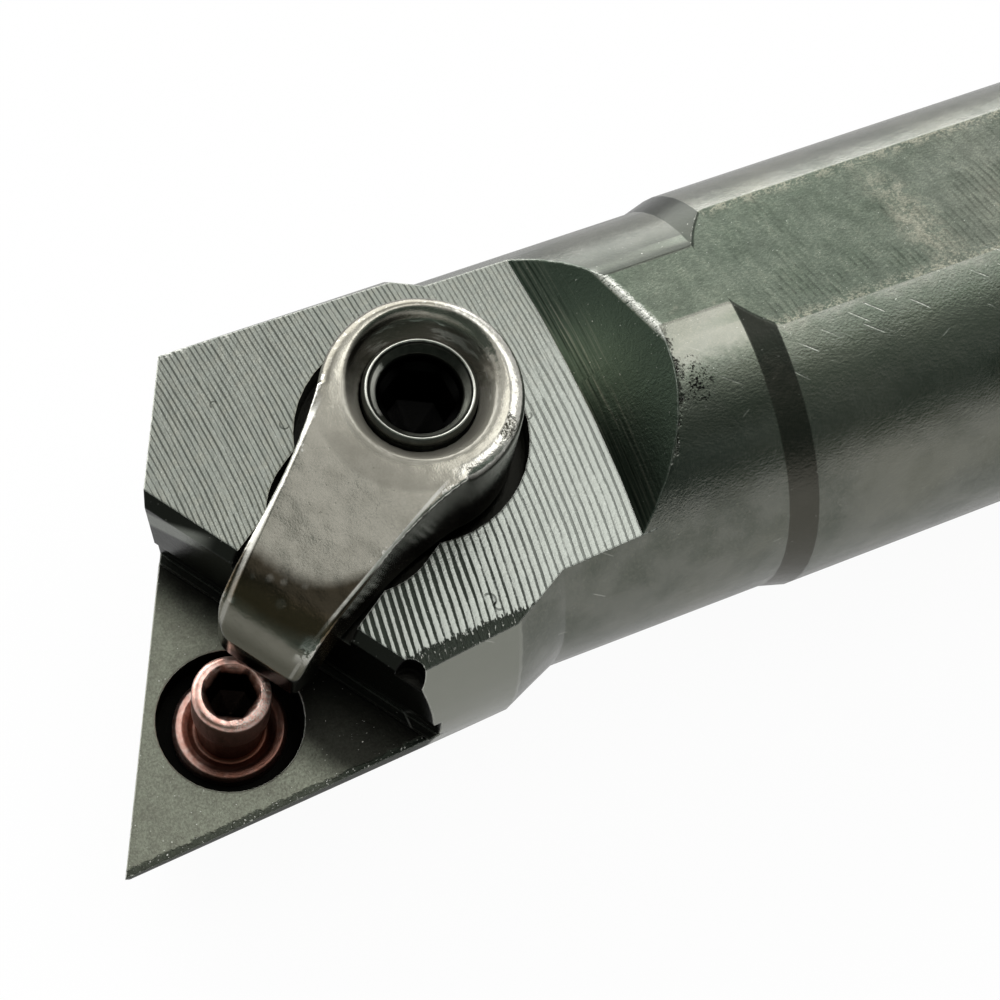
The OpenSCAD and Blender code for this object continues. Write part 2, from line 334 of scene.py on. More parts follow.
# Bar: blackened steel, milled on the head. Its finish uses groups of values: at holds where a place lies and the
# grains there, on holds which worked face it is on, and the others hold marks. They go from 0 to 1.
bar = {
    "steel": paint(127, 129, 121), "pale": paint(150, 149, 136), "dull": paint(106, 110, 101),
    "moss": paint(84, 97, 82), "beige": paint(168, 165, 148), "shoulder": paint(84, 82, 74),
    "outer": paint(156, 158, 148), "flat": paint(134, 138, 130), "milled": paint(154, 158, 151),
    "torn": paint(58, 63, 56), "ramp": paint(68, 80, 68), "pocketFloor": paint(120, 124, 110),
    "wall": paint(26, 29, 24), "lineShade": paint(30, 35, 29), "soot": paint(14, 14, 11),
    "bright": paint(226, 227, 218),
    "metallic": 0.94, "rough": 0.21, "edgeRadius": 0.00014, "bendSeen": (0.08, 0.26),
    "grains": {"fine": (0.12, 3, 0.65), "small": (0.5, 3, 0.6), "mottle": (2.2, 4, 0.6), "drift": (9, 3, 0.55)},
    "heights": {"fine": 0.01, "small": 0.01, "mottle": 0.008},
    "lineStep": 0.36, "fineStep": 0.24, "lineDepth": 0.0012, "grooveDepth": 0.01,
    "curls": ((13.3, -2.1, 0.22, 40), (8.2, 9.2, 0.3, 200), (7.9, 9.6, 0.2, 20), (2.8, 1.6, 0.2, 120),
              (15.9, -4.2, 0.16, 300)),  # half rings: x, y, radius, and the way that they face in degrees
    "rippleStep": 0.36, "patchX": 154.8, "patchY": 0.3, "patchHalf": 3.2,
    "pitsX": 168.5, "pitsAround": 5.2, "pitsReach": 1.2,
    "slanted": {"length": 1.3, "gap": 0.34, "width": 0.04, "share": 0.2, "seed": 1.0},
    "crossed": {"length": 0.6, "gap": 1.1, "width": 0.03, "share": 0.03, "seed": 6.0},
    "short": {"length": 0.9, "gap": 0.6, "width": 0.035, "share": 0.06, "seed": 8.0},
}


def headInward(x, y, z):
    # how far in a place is from the head's round outside, which is a cone that leans a little
    lean, taper = math.radians(head["lean"]), math.radians(head["taper"])
    fromX, fromY = x - head["axisX"], y - head["axisY"]
    axial = fromX * math.cos(lean) + fromY * math.sin(lean)
    across = fromY * math.cos(lean) - fromX * math.sin(lean)
    return head["radius"] + axial * math.tan(taper) - apart(across, z)


def barPlaces(f, b):
    place = f.millimetres()
    at = f.grains(place, b["grains"])
    axes = f.add("SeparateXYZ", None, place)
    at.x, at.y, at.z = (axes[axis] for axis in "XYZ")
    at.hx, at.hy, at.hz = f.placed(place, headPlace())  # on the milled head
    at.sx, at.sy = f.placed(place, seatPlace())[:2]  # in the seat, from the pin
    at.cx = at.sx + recess["screwBack"]  # along the clamp, from its screw
    at.around = at.y.math("ARCTAN2", at.z) * shank["radius"]  # way round the shank, from its top
    at.fromAxis = apart(at.y, at.z)
    at.inward = headInward(at.x, at.y, at.z)
    arcX, arcY = at.hx - head["backRadius"], at.hy - head["backY"]  # from the centre of the flat's back edge
    at.reach = apart(arcX, arcY)
    at.turn = arcY.math("ARCTAN2", arcX) * head["backRadius"]
    at.pastRamp = at.reach - at.hz * math.tan(math.radians(head["rampAngle"])) - head["backRadius"]
    return at


def inHollows(f, at):
    # 1 in the clamp's recess, the corner relief and the pin's counterbore, which are painted black as shade
    inRound = f.ease(apart(at.cx, at.sy), recess["radius"], recess["radius"] - 0.05)
    inChannel = f.ease(abs(at.sy), recess["channelHalf"], recess["channelHalf"] - 0.1) * f.ease(at.cx, 0, 0.5)
    inChannel = inChannel * f.ease(at.cx, recess["channelEnd"], recess["channelEnd"] - 0.1)
    inSide = f.ease(apart(at.cx - recess["sideX"], at.sy), recess["sideRadius"], recess["sideRadius"] - 0.1)
    inRecess = (inRound | inChannel | inSide) * f.ease(at.hz, -0.02, -0.06)
    inRecess = inRecess * f.ease(at.hz, recess["floor"], recess["floor"] + 0.2)
    fromRelief = apart(at.sx - seat["wall"], at.sy - seat["reliefY"])
    inRelief = f.ease(fromRelief, seat["reliefRadius"], seat["reliefRadius"] - 0.04) * f.ease(at.inward, 0.02, 0.05)
    inRelief = inRelief * f.band(at.hz, seat["reliefMiddle"], seat["reliefHalf"], 0.03)
    inBore = f.ease(apart(at.sx, at.sy), seat["bore"], seat["bore"] - 0.03)
    inBore = inBore * f.ease(at.hz, seat["floor"] - 0.02, seat["floor"] - 0.06)
    return inRecess | inRelief | inBore


def barFaces(f, at):
    wall, floor = seat["wall"], seat["floor"]
    on = SimpleNamespace(head=f.ease(at.hx, -0.5, -0.3), hollow=inHollows(f, at))
    on.flat = f.band(at.hz, 0, 0.02, 0.02) * on.head
    on.floor = f.band(at.hz, floor, 0.03, 0.02) * f.ease(at.sx, wall - 0.5, wall - 0.4)
    on.skirt = f.ease(at.hz, floor - 0.005, floor - 0.03) * f.ease(at.sx, wall - 0.3, wall)  # below the floor's edges
    on.ramp = f.band(at.pastRamp, 0, 0.04, 0.03) * f.ease(at.hz, 0.02, 0.05)
    on.wall = f.ease(at.sx, wall + 0.03, wall + 0.01) * f.ease(at.sx, seat["wallBack"] - 0.2, seat["wallBack"])
    on.wall = on.wall * f.ease(at.hz, -0.01, -0.03) * f.ease(at.hz, floor - 0.3, floor - 0.1)
    on.wall = on.wall * f.ease(at.inward, 0.04, 0.08)
    on.outer = on.head * f.ease(abs(at.inward), 0.1, 0.05) * f.ease(at.y, 5, 8)  # the head's round cutting side
    slope = (shank["radius"] - shank["neckRadius"]) / (shank["coneEnd"] - shank["end"])
    cone = shank["radius"] - (at.x - shank["end"]) * slope
    on.cone = f.band(at.fromAxis - cone, 0, 0.05, 0.04) * f.ease(at.x, shank["end"] - 0.05, shank["end"] + 0.02)
    on.cone = on.cone * f.ease(at.x, shank["coneEnd"] + 0.05, shank["coneEnd"] - 0.02)
    outside = (cone | shank["neckRadius"]) & shank["radius"]
    on.top = f.ease(at.z, shank["flat"] - 0.03, shank["flat"] - 0.01) * f.ease(at.x, 172, 171) * (1 - on.ramp)
    on.top = on.top * f.ease(at.fromAxis - outside, -0.005, -0.03)
    on.neck = f.ease(at.x, shank["coneEnd"] - 0.05, shank["coneEnd"] + 0.05) * f.ease(at.hx, -0.2, -0.4)
    on.neck = on.neck * (1 - on.top)
    return on


def waves(place, step):
    return (place * (2 * math.pi / step)).math("SINE")


def scratches(f, along, across, length, gap, width, share, seed):
    # straight marks of that length, in a share of the cells of a grid whose rows are shifted at random
    row = (across / gap).math("FLOOR")
    shift = f.add("TexWhiteNoise", {"noise_dimensions": "2D"}, Vector=f.joined(row, seed, 0))["Value"]
    spot = along / (length * 1.5) + shift * 7
    column = spot.math("FLOOR")
    chance = f.add("TexWhiteNoise", {"noise_dimensions": "3D"}, Vector=f.joined(row, column, seed))
    parts = f.add("SeparateColor", None, chance["Color"])
    offset = ((across / gap).math("FRACT") - 0.5 - (parts["Red"] - 0.5) * 0.7) * gap
    offset = offset + (spot.math("FRACT") - 0.5) * (parts["Green"] - 0.5) * gap * 0.5
    reach = f.band(spot.math("FRACT"), 0.5, 0.2, 0.13)
    return f.band(offset, 0, width * 0.4, width * 0.6) * reach * f.ease(parts["Blue"], 1 - share, 1.0 - share * 0.4)


def milledMarks(f, b, at, on):
    # lines on arcs about the centre of the flat's back edge, uneven in depth and torn at the cutting side
    wandering = at.reach + f.grain(at.place, 6.0, 2, 0.5) * 0.3
    streak = f.grain(f.joined(at.reach, at.turn * 0.06, 0), 0.3, 4, 0.75)
    uneven = (streak - 0.5) * 2.6 + (at.fine - 0.5) * 0.9
    slanted = at.hy - at.hx * 0.35
    inFine = f.ease(slanted, 0, -2)
    fingerShade = f.ease(at.sy, 7.0, 4.2) * f.ease(at.cx, 2.5, 5)  # painted shade: the lines darker beside the finger
    mill = SimpleNamespace(wave=waves(wandering, b["lineStep"]), toRight=f.ease(slanted, -7, 4))
    mill.groove = f.ease(mill.wave + uneven + fingerShade * 0.9, 0.4, 1.0) * (1 - inFine)
    mill.groove = mill.groove + f.ease(waves(wandering, b["fineStep"]) + uneven, 0.3, 1.1) * inFine

    mill.teeth = f.grain(f.joined(at.reach, at.turn * 0.25, 7.0), 0.11, 3, 0.7)
    mill.fleck = f.ease(f.grain(f.joined(at.reach, at.turn * 0.3, 3.0), 0.1, 2, 0.6), 0.6, 0.67)
    wide = f.ease(at.hx, 4, 12, 0.25, 0.68)
    mill.burr = f.ease(at.inward + (mill.teeth - 0.5) * 0.9, wide + 0.06, wide) * f.ease(at.hy, 2, 5) * on.flat
    mill.flecked = f.ease(at.inward + (at.small - 0.5) * 0.2, 0.24, 0.1) * f.ease(at.hx, 13, 15) * on.flat

    def curl(middleX, middleY, radius, angle):
        wayX, wayY = math.cos(math.radians(angle)), math.sin(math.radians(angle))
        fromX, fromY = at.hx - middleX, at.hy - middleY
        return f.band(apart(fromX, fromY), radius, 0.025, 0.03) * f.ease(fromX * wayX + fromY * wayY, -0.1, 0.1)
    mill.curl = sum(curl(*place) for place in b["curls"])
    return mill


def rampMarks(f, b, at, on):
    # fine lines near the ramp's foot, a bright burr on its top edge, and chips and pits on the neck beside it
    edge = SimpleNamespace(nearFoot=f.ease(at.hz, 1.9, 0.2))
    edge.footLines = f.grain(f.joined(at.reach, at.turn * 0.02, 0), 0.1, 2, 0.6)
    edge.hair = f.grain(f.joined(at.hx * 2.5, at.hy * 9, 1.0), 1.0, 3, 0.6)
    onEdge = f.ease(at.pastRamp + (at.fine - 0.5) * 0.7 + (edge.hair - 0.5) * 0.5, 0.3, 0.1) * on.top
    edge.rim = f.ease(at.z, shank["flat"], shank["flat"] + 0.2) * on.ramp + onEdge
    edge.rim = edge.rim * f.ease(at.y + (at.mottle - 0.5) * 2, -3.2, -1.2)
    edge.rim = edge.rim * f.ease(edge.hair * 0.5 + at.fine * 0.5, 0.38, 0.5)
    aside = (1 - on.top) * (1 - on.ramp)
    edge.chips = f.ease(at.pastRamp + (at.small - 0.5) * 1.2, 0.3, 0.05) * f.ease(at.pastRamp, 0.0, 0.05) * aside
    edge.chips = edge.chips * f.ease(at.y, 1.5, 2.8) * f.ease(at.y, 8.0, 6.2) * f.ease(at.x, 160, 166)
    fromPits = ((at.x - b["pitsX"]) ** 2 * 1.6 + (at.around - b["pitsAround"]) ** 2 * 0.7) ** 0.5
    edge.pits = f.ease(fromPits + (at.small - 0.5) * 2.6, b["pitsReach"], b["pitsReach"] - 0.5) * aside
    edge.pits = edge.pits * f.ease(at.fine + at.small * 0.4, 0.73, 0.78)
    return edge


def scratchMarks(f, b, at, on):
    # slanted and crossed ones on the shank, and short ones on the head
    slanted = scratches(f, at.around * 0.65 - at.x * 0.76, at.x * 0.65 + at.around * 0.76, **b["slanted"])
    slanted = slanted * f.ease(at.around, 2.5, 4.2) * f.ease(at.around, 8.5, 5.0) * f.ease(at.mottle, 0.4, 0.6)
    crossed = scratches(f, at.x * 0.9 + at.around * 0.4, at.around * 0.9 - at.x * 0.4, **b["crossed"])
    onShank = (slanted | crossed * 0.5) * f.ease(at.x, 169, 166) * (1 - on.cone)
    short = scratches(f, at.hx * 0.8 + at.hz * 0.6, at.hz * 0.8 - at.hx * 0.6, **b["short"])
    return onShank | short * (1 - on.flat) * (1 - on.floor) * on.head * 0.7


def shankMarks(f, b, at, on):
    # chatter ripples across the shank's flat, a rubbed patch, and wear along the flat's edges
    worn = SimpleNamespace()
    worn.ripple = waves(at.x + at.y * 0.12 + f.grain(at.place, 4, 2, 0.5) * 0.4, b["rippleStep"])
    worn.rippled = f.ease(at.drift + (at.mottle - 0.5) + at.y * 0.03, 0.36, 0.62) * on.top
    worn.rippled = worn.rippled * f.ease(at.x, shank["end"] + 0.15, shank["end"] - 0.45)
    patchX, patchY = at.x - b["patchX"], at.y - b["patchY"]
    fromPatch = apart(patchX + patchY * 0.15, patchY / b["patchHalf"])
    rubbed = f.ease(fromPatch + (at.small - 0.5) * 1.4 + (at.mottle - 0.5) * 2.4, 1.5, 0.4)
    worn.rubbed = (rubbed | f.ease(at.drift + (at.small - 0.5) * 0.3, 0.66, 0.8)) * on.top
    worn.nearEdge = f.ease(abs(at.y), 3.1, 3.9) * f.ease(at.small + (at.fine - 0.5), 0.42, 0.62) * on.top
    worn.blotch = f.grain(f.joined(at.x + at.y * 0.12, at.y * 0.45, at.z), 0.7, 4, 0.75)
    return worn


def pocketMarks(f, at, on):
    # painted shade along the wall's foot, a nicked edge on the cutting side, and the wall's end painted as lit
    pocket = SimpleNamespace()
    toWall = at.sx - seat["wall"] + (at.mottle - 0.5) * 1.2 - f.ease(at.sy, -2, 3) * 2.6
    pocket.stain = f.ease(toWall, 2.4, 0.3) * on.floor
    toCutEdge = seat["cutEdge"] - (at.sx * 0.5 + at.sy * 0.866)
    pocket.nicked = f.ease(toCutEdge + (at.small - 0.5) * 0.5, 0.42, 0.28) * on.floor
    pocket.wallEnd = f.ease(at.sy, -4.2, -5.6) * f.band(at.hz - at.sy * 0.32, 0.7, 0.4, 0.4)
    return pocket


def milledColour(f, b, at, mill):
    return f.layered(
        b["flat"],
        (f.ease(at.small, 0.4, 0.7) * 0.3, b["pale"]),
        (mill.toRight * 0.85, b["milled"]),
        (mill.groove * (0.68 + mill.toRight * 0.3) * f.ease(at.hx, 3, 8, 0.6, 1.0), b["lineShade"]),
        (mill.curl * 0.6, b["lineShade"]))


def rampColour(f, b, edge):
    return f.layered(
        b["ramp"],
        (edge.nearFoot * f.ease(edge.footLines, 0.5, 0.75) * 0.5, b["pale"]),
        (edge.nearFoot * f.ease(edge.footLines, 0.5, 0.3) * 0.8, b["lineShade"]))


def floorColour(f, b, at):
    return f.layered(
        b["pocketFloor"],
        (f.ease(at.fine * 0.75 + at.small * 0.25, 0.34, 0.66) * 0.6, b["shoulder"]),
        (f.ease(at.mottle + (at.small - 0.5) * 0.3, 0.45, 0.85) * 0.35, b["shoulder"]))


def barFinish(b):
    f = newFinish("blackened steel")
    at = barPlaces(f, b)
    on = barFaces(f, at)
    mill = milledMarks(f, b, at, on)
    edge = rampMarks(f, b, at, on)
    worn = shankMarks(f, b, at, on)
    pocket = pocketMarks(f, at, on)
    scratch = scratchMarks(f, b, at, on)
    small, fine = at.small, at.fine
    speck = f.ease(f.grain(at.place, 0.11, 1, 0.4), 0.76, 0.8)
    inShade = f.ease(at.around + (small - 0.5) * 1.5, 3.6, 4.8) * f.ease(at.around, 8.6, 6.8) * (1 - on.head)
    farNeck = f.ease(at.y, -1, -1.6) * f.ease(at.y, -6.8, -2.0, 0.0, 0.86) * f.ease(at.z, 2, 5)
    nearNeck = f.ease(at.around + (small - 0.5) * 2, 3.6, 5.6) * f.ease(at.around, 8.8, 7.0)

    # rubbed edges, where the rounded surface turns away from the true one
    rounded = f.add("Bevel", {"samples": 4}, b["edgeRadius"])["Normal"]
    plainWay = f.add("NewGeometry")["True Normal"]
    bend = 1 - f.add("VectorMath", {"operation": "DOT_PRODUCT"}, rounded, plainWay)["Value"]
    bare = f.ease(bend + (small - 0.5) * 0.3 + (fine - 0.5) * 0.3, *b["bendSeen"])
    bare = bare * (1 - on.hollow) * (1 - on.wall * 0.8)

    colour = f.layered(
        b["steel"],
        (f.ease(at.mottle, 0.35, 0.7), b["dull"]),
        (f.ease(at.drift, 0.45, 0.7) * 0.4, b["pale"]),
        (f.ease(fine, 0.45, 0.75) * 0.4, b["pale"]),
        # the shank and its flat
        (on.top * f.ease(at.x, 148, 160, 0.42, 0.72), b["moss"]),
        (inShade * 0.55, b["moss"]),
        (on.top * f.ease(worn.blotch + (fine - 0.5) * 0.3, 0.62, 0.32) * 0.26, b["lineShade"]),
        (on.top * f.ease(worn.blotch + (fine - 0.5) * 0.6, 0.5, 0.85) * 0.14, b["beige"]),
        (worn.rippled * f.ease(worn.ripple + (small - 0.5) * 3.4, 0.1, 1.4) * 0.42, b["lineShade"]),
        (worn.rubbed * f.ease(small + (fine - 0.5) * 0.6, 0.3, 0.75) * 0.55, b["beige"]),
        (worn.nearEdge * 0.45, b["beige"]),
        (on.neck * farNeck, b["lineShade"]),
        # painted shade on the neck's near side
        (on.neck * nearNeck * 0.35, b["lineShade"]),
        # the head's faces
        (on.outer * 0.85, b["outer"]),
        (on.cone * 0.85, f.mixed(f.ease(at.around + (small - 0.5) * 3, 8, 4.5), b["shoulder"], b["lineShade"])),
        (on.flat, milledColour(f, b, at, mill)),
        (on.ramp, rampColour(f, b, edge)),
        (on.floor, floorColour(f, b, at)),
        # painted shade along the wall's foot
        (pocket.stain * 0.92, b["soot"]),
        (on.skirt * 0.85, b["wall"]),
        (pocket.nicked * 0.8, f.mixed(f.ease(fine, 0.62, 0.7), b["lineShade"], b["bright"])),
        # painted shade: the wall near black, with its end painted lit
        (on.wall, f.mixed(pocket.wallEnd * 0.8, b["wall"], b["flat"])),
        # torn, chipped and rubbed edges, and scratches
        (mill.burr, f.mixed(mill.fleck * 0.9, b["torn"], b["bright"])),
        (mill.flecked * f.ease(small * 0.5 + fine * 0.5, 0.5, 0.6) * 0.9, b["bright"]),
        (edge.chips * f.ease(fine, 0.42, 0.5) | edge.pits, b["soot"]),
        (edge.chips * f.ease(fine, 0.62, 0.68), b["bright"]),
        (edge.rim, b["bright"]),
        (scratch * 0.48 * (1 - on.hollow), b["bright"]),
        (speck * (0.3 + on.floor * 0.3 + on.ramp * 0.2) * (1 - on.hollow), b["bright"]),
        (bare * 0.7, b["bright"]),
        # painted shade: the hollows black
        (on.hollow, b["soot"]))

    height = bumps(at, b["heights"]) - on.flat * (mill.wave * b["lineDepth"] + mill.groove * b["grooveDepth"])
    height = height + f.ease(at.around, 3.4, 4.6) * (1 - on.head) * (small * 0.003 + fine * 0.007)
    height = height + worn.rippled * worn.ripple * 0.004 - scratch * 0.008
    height = height + mill.burr * (mill.teeth + mill.fleck) * 0.08 - mill.curl * 0.01
    height = height + edge.rim * edge.hair * 0.06 - edge.chips * fine * 0.08 - pocket.nicked * small * 0.05
    rough = b["rough"] + (at.drift - 0.5) * 0.12 + (fine - 0.5) * 0.12
    rough = rough + on.flat * 0.08 + on.floor * 0.14 + on.ramp * 0.1 + on.skirt * 0.4
    rough = rough + edge.rim * 0.3 + mill.burr * 0.2
    f.closeMetal(colour, b["metallic"] - edge.rim * 0.4, rough, f.bumped(height, Normal=rounded))
    return f


dress(nodes["bar_body"], barFinish(bar))
print("bar finished")


def linked(name, mesh):
    piece = bpy.data.objects.new(name, mesh)
    bpy.context.scene.collection.objects.link(piece)
    return piece


def settle(piece):
    # works the piece's modifiers into its mesh
    drawn = piece.evaluated_get(bpy.context.evaluated_depsgraph_get())
    mesh = bpy.data.meshes.new_from_object(drawn)
    piece.modifiers.clear()
    piece.data = mesh


def eased(value, low, high):
    # 0 at low, 1 at high, with a soft change between
    share = max(0.0, min(1.0, (value - low) / (high - low)))
    return share * share * (3 - 2 * share)


# Clamp: forged finger with a dished, rounded end. Its places are along, across and up from its screw.
finger = {
    "weld": 0.001, "voxel": 0.09, "smoothing": 13, "leanSide": 0.1, "leanBack": 0.06, "dishWider": 0.36,
    "backHigher": 0.3, "backWay": (-0.87, -0.5), "wave": 0.035, "pits": 0.012,
    "metallic": 0.92, "rough": 0.2, "foldSeen": (0.512, 0.535),
    "grains": {"fine": (0.1, 3, 0.65), "small": (0.35, 3, 0.6), "mottle": (1.5, 4, 0.6)},
    "heights": {"fine": 0.007, "small": 0.007, "mottle": 0.008},
    "leftEdge": (3.98, 0.162), "rightEdge": (3.9, 0.13),  # half width at the screw, and how much narrower a millimetre
    "smudges": ((10.3, -0.8, 0.16), (10.1, -0.2, 0.12), (10.9, 0.2, 0.18), (9.8, 0.7, 0.1), (10.6, -1.5, 0.1)),
    "steel": paint(184, 181, 168), "dull": paint(160, 157, 144), "rubbed": paint(236, 235, 226),
    "dark": paint(64, 60, 48), "nose": paint(92, 92, 80), "scorched": paint(56, 49, 35),
    "brown": paint(112, 97, 72), "soot": paint(12, 11, 8),
}


def fingerSkin(g):
    # the CAD's clamp in millimetres, with fine even faces and softened edges
    mesh = nodes["clamp"].data.copy()
    mesh.transform(Matrix.Scale(1 / mm, 4))
    piece = linked("fingerClamp", mesh)
    weld = piece.modifiers.new("weld", "WELD")
    weld.merge_threshold = g["weld"]
    skin = piece.modifiers.new("skin", "REMESH")
    skin.mode = "VOXEL"
    skin.voxel_size = g["voxel"]
    soft = piece.modifiers.new("soft", "SMOOTH")
    soft.factor = 0.5
    soft.iterations = g["smoothing"]
    settle(piece)
    return piece


def addFinger(g):
    piece = fingerSkin(g)
    place = clampPlace()
    back = place.inverted()
    for vertex in piece.data.vertices:
        spot = back @ vertex.co
        away = math.hypot(spot.x, spot.y)
        outer = eased(away, 3.0, 3.8)  # the screw's hole stays as it is
        spot.y += g["leanSide"] * outer
        spot.x -= g["leanBack"] * outer * eased(spot.x, 1.5, -2.5)
        # the boss stands a little higher at its back, where its dish is wider
        behind = max(0.0, (g["backWay"][0] * spot.x + g["backWay"][1] * spot.y) / max(away, 0.1))
        behind *= eased(spot.z, 3.4, 4.2)
        widen = 1 + g["dishWider"] * behind * eased(away, 2.75, 3.25) * eased(away, 4.4, 3.5) / away
        spot.x *= widen
        spot.y *= widen
        spot.z += g["backHigher"] * behind * eased(away, 3.2, 3.7)
        wave = noise.noise(spot * 0.45) * g["wave"] + noise.noise(spot * 1.7 + Vector((9, 0, 0))) * g["pits"]
        spot.z += wave * outer * eased(spot.z, 0.5, 1.5)
        vertex.co = place @ spot
    piece.data.transform(Matrix.Scale(mm, 4))
    for face in piece.data.polygons:
        face.use_smooth = True
    return piece


def fingerPlaces(f, g):
    place = f.millimetres()
    at = f.grains(place, g["grains"])
    at.x, at.y, at.z = f.placed(place, clampPlace())
    at.away = apart(at.x, at.y)
    at.way = at.y.math("ARCTAN2", at.x)
    at.toFinger = at.x * 0.87 + at.y * 0.5
    at.rim = f.band(at.away, 4.3, 0.22, 0.15) * f.ease(at.z, 4.2, 4.5)
    at.dish = f.ease(at.away, 3.7, 3.4) * f.ease(at.z, 3.4, 3.7)
    at.frontDish = at.dish * f.ease(at.toFinger, -1.7, -0.1)
    fromTop = at.x + ((at.y + 1) | 0) ** 3 * 0.035 + (at.small - 0.5) * 0.3
    fromNose = at.x + (at.y | 0) ** 2 * 0.07 + (at.small - 0.5) * 0.3
    at.bend = f.ease(fromTop, 9.1, 10.1) * f.ease(fromNose, 12.1, 11.4)
    facing = f.add("TexCoord")["Normal"]
    at.sideways, at.upward = (f.along(facing, (0, 0, 0), clampPlace().col[axis].to_3d()) for axis in (1, 2))
    return at


def fingerMarks(f, g, at):
    small, fine = at.small, at.fine
    mark = SimpleNamespace(pits=f.ease(small, 0.34, 0.27))
    # worn folds along the finger and behind the boss
    folds = f.add("NewGeometry")["Pointiness"] + (small - 0.5) * 0.05 + (fine - 0.5) * 0.04
    flank = f.ease(abs(at.y - 0.1) + at.x * 0.08, 2.6, 2.85) * f.ease(at.x, 4.2, 5.2)
    folded = f.ease(folds, *g["foldSeen"]) * f.ease(at.z, 0.6, 1.4)
    mark.folded = folded * (flank | f.ease(at.away, 4.0, 4.2) * f.ease(at.x, 4.6, 4.2)) * (1 - at.bend)
    # painted highlight: a light line along each edge of the finger, brighter near the boss
    leftHalf, leftTaper = g["leftEdge"]
    rightHalf, rightTaper = g["rightEdge"]
    mark.fromLeft = at.y + leftHalf - at.x * leftTaper
    fromRight = rightHalf - at.x * rightTaper - at.y
    line = f.band(mark.fromLeft + (fine - 0.5) * 0.08, 0.14, 0.06, 0.1) | f.band(fromRight, 0.12, 0.04, 0.07) * 0.8
    line = line * f.ease(at.upward, 0.3, 0.6) * f.ease(at.x, 2.6, 3.8)
    mark.line = line * f.ease(at.x + (small - 0.5) * 2, 11, 8.8, 0.3, 1.0)
    # the boss's rim and dish
    mark.polished = at.rim * f.ease(at.y - at.x * 0.8 + (small - 0.5) * 2, 1.0, 3.0)
    mark.chipped = f.ease(apart(at.x + 0.7, at.y - 3.9) + (small - 0.5) * 1.4, 0.75, 0.4) * at.rim
    mark.turned = f.ease(f.grain(f.joined(at.away, at.z, 0), 0.09, 2, 0.6), 0.5, 0.7) * at.dish
    scuffs = f.grain(f.joined(at.away * 3, at.x.math("ARCTAN2", at.y) * 1.2, 2.0), 0.8, 3, 0.7)
    mark.scuff = f.ease(scuffs, 0.52, 0.62) * at.dish * f.ease(at.x, 0.5, -1.5)
    snaking = at.away + (at.way * 17).math("SINE") * 0.06 + (small - 0.5) * 0.12
    mark.squiggle = f.band(snaking, 3.55, 0.02, 0.03) * at.dish * f.band(at.way, -2.65, 0.2, 0.06)

    def smudge(middleX, middleY, radius):
        return f.ease(apart(at.x - middleX, at.y - middleY) + (small - 0.5) * 0.3, radius + 0.1, radius - 0.05)
    mark.smudge = sum(smudge(*place) for place in g["smudges"])
    return mark


def fingerFinish(g):
    f = newFinish("finger steel")
    at = fingerPlaces(f, g)
    mark = fingerMarks(f, g, at)
    small, fine = at.small, at.fine
    frontRim = f.band(at.away, 4.1, 0.5, 0.3) * f.ease(at.toFinger, 1.6, 3.0) * f.ease(at.z, 3.4, 3.8)
    under = f.ease(at.z - at.y * 0.26, -0.45, -0.75) * f.ease(at.x, 11, 11.5)
    colour = f.layered(
        g["steel"],
        (f.ease(at.mottle, 0.4, 0.75) * 0.6, g["dull"]),
        (f.ease(fine, 0.45, 0.7) * 0.3, g["dull"]),
        # painted shade: the dish darker towards its back
        (at.dish * f.ease(at.x + at.y * 0.6 + (small - 0.5) * 2, 0.5, -2.2) * 0.85, g["dark"]),
        (at.frontDish * 0.3, g["dark"]),
        (at.rim * f.ease(at.toFinger, 1.5, -0.5) * 0.55, g["dark"]),
        (frontRim * 0.25, g["dark"]),
        # painted shade: faces turned to the finger's side near black
        (f.ease(at.sideways, 0.45, 0.8) * 0.85, g["soot"]),
        (mark.turned * 0.3, g["dark"]),
        (mark.pits * 0.12, g["dark"]),
        # painted shade: darker towards the foot, down in the recess
        (f.ease(at.z, 0.9, 0.2) * 0.75, g["dark"]),
        # painted shade: the nose darker
        (f.ease(at.x + (small - 0.5) * 0.6, 10.9, 11.9) * 0.72, g["nose"]),
        # painted shade: a dark band across the bend, browner towards the nose
        (at.bend * 0.96, f.mixed(f.ease(at.x + at.y * 0.1, 10.3, 11.2), g["scorched"], g["brown"])),
        # painted shade under the nose
        (under, g["soot"]),
        (mark.scuff * 0.25 + mark.smudge * 0.1 + mark.squiggle * 0.7, g["rubbed"]),
        # worn folds and a polished rim, and the painted highlight along the edges
        (mark.folded * 0.75 | mark.polished * (0.15 + small * 0.75) | mark.line * 0.9, g["rubbed"]),
        (mark.chipped * f.ease(fine, 0.52, 0.45), g["dark"]))
    height = bumps(at, g["heights"]) - mark.pits * 0.004 - mark.chipped * fine * 0.1
    height = height + mark.polished * small * 0.03 - f.ease(mark.fromLeft, 0.36, 0.0) * f.ease(at.x, 2.6, 3.8) * 0.11
    metallic = g["metallic"] - at.dish * 0.15 - at.frontDish * 0.4 - mark.line * 0.3
    rough = g["rough"] + (at.mottle - 0.5) * 0.1 + (fine - 0.5) * 0.1
    f.closeMetal(colour, metallic, rough, f.bumped(height))
    return f


clampPiece = addFinger(finger)
dress(clampPiece, fingerFinish(finger))
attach(clampPiece, "clamp")
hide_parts("clamp")
print("clamp made", len(clampPiece.data.polygons), "faces")


